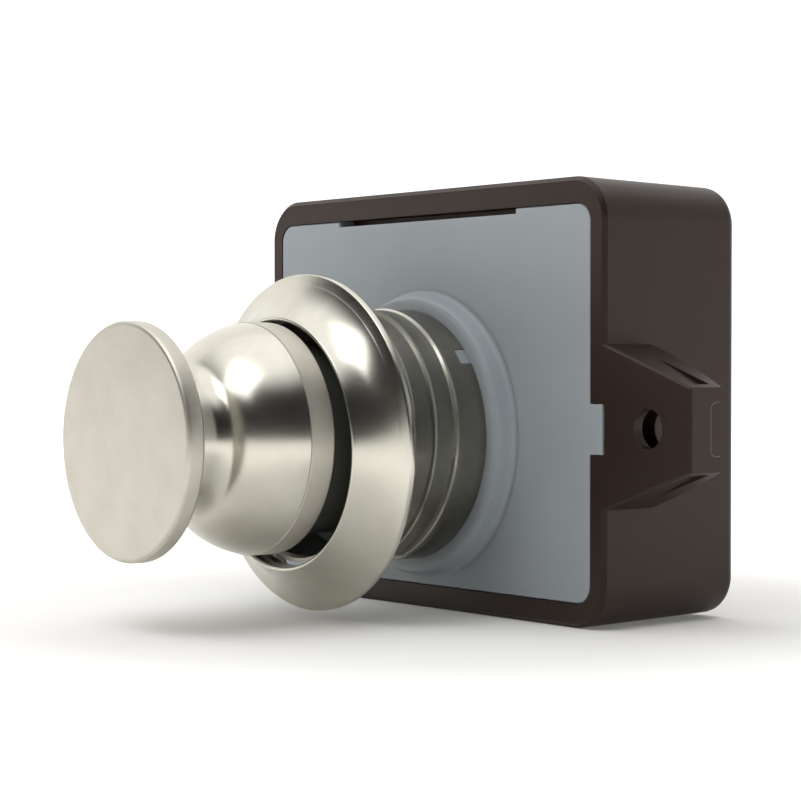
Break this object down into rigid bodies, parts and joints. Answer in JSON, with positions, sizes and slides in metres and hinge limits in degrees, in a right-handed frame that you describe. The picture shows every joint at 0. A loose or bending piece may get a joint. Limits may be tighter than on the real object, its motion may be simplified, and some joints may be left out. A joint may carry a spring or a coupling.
{
  "type": "push button cabinet lock",
  "caption": "Push button cabinet lock: moulded housing with screw ears, threaded barrel with flared ring, and a mushroom knob that is pressed in to drive a sprung bolt out of the housing.",
  "frame": {"origin": "where the barrel's axis crosses the plane of the housing's front rim, which lies against the inside of the door", "axes": "-Y along the barrel out to the knob, +Y into the cabinet, +Z the side that the bolt leaves by, +X to the right seen from the front of the door"},
  "size_m": [0.0718, 0.0512, 0.0406],
  "materials": {
    "brown_plastic": "satin moulded plastic",
    "milky_plastic": "milky satin nylon",
    "dark_nickel": "dark polished nickel plate",
    "satin_nickel": "satin nickel plate",
    "spring_steel": "bright drawn steel",
    "black_nylon": "moulded nylon",
    "bolt_metal": "plated die casting"
  },
  "bodies": {
    "case": {"housing": "brown_plastic", "front_plate": "milky_plastic", "barrel": "dark_nickel", "main_spring": "spring_steel", "bolt_spring_left": "spring_steel", "bolt_spring_right": "spring_steel", "track_pin_leaf": "spring_steel"},
    "rosette": {"rosette": "satin_nickel"},
    "button": {"knob": "satin_nickel", "spindle": "spring_steel", "spindle_screw": "spring_steel", "spindle_washer": "spring_steel", "plunger": "black_nylon"},
    "bolt": {"bolt": "bolt_metal"},
    "track_pin": {"track_pin": "spring_steel"}
  },
  "joints": [
    {"name": "button_press", "type": "slide", "parent": "case", "child": "button", "axis": [0, 1, 0], "range_m": [0, 0.009], "stiffness_N_per_m": 500, "springref_m": -0.006, "deforming": ["main_spring"]},
    {"name": "bolt_throw", "type": "slide", "parent": "case", "child": "bolt", "axis": [0, 0, 1], "range_m": [0, 0.0072], "deforming": ["bolt_spring_left", "bolt_spring_right"]},
    {"name": "rosette_turn", "type": "hinge", "parent": "case", "child": "rosette", "pos_m": [0, -0.0145, 0], "axis": [0, 1, 0], "range_deg": [-90, 90]},
    {"name": "track_pin_swing", "type": "hinge", "parent": "case", "child": "track_pin", "pos_m": [0, 0.0124, -0.0096], "axis": [0, 0, 1], "range_deg": [0, 13.2]}
  ],
  "couplings": [
    {"joint": "bolt_throw", "follows": "button_press", "ratio": 0.8},
    {"joint": "track_pin_swing", "follows": "button_press", "rad_per_m": 25.478}
  ]
}
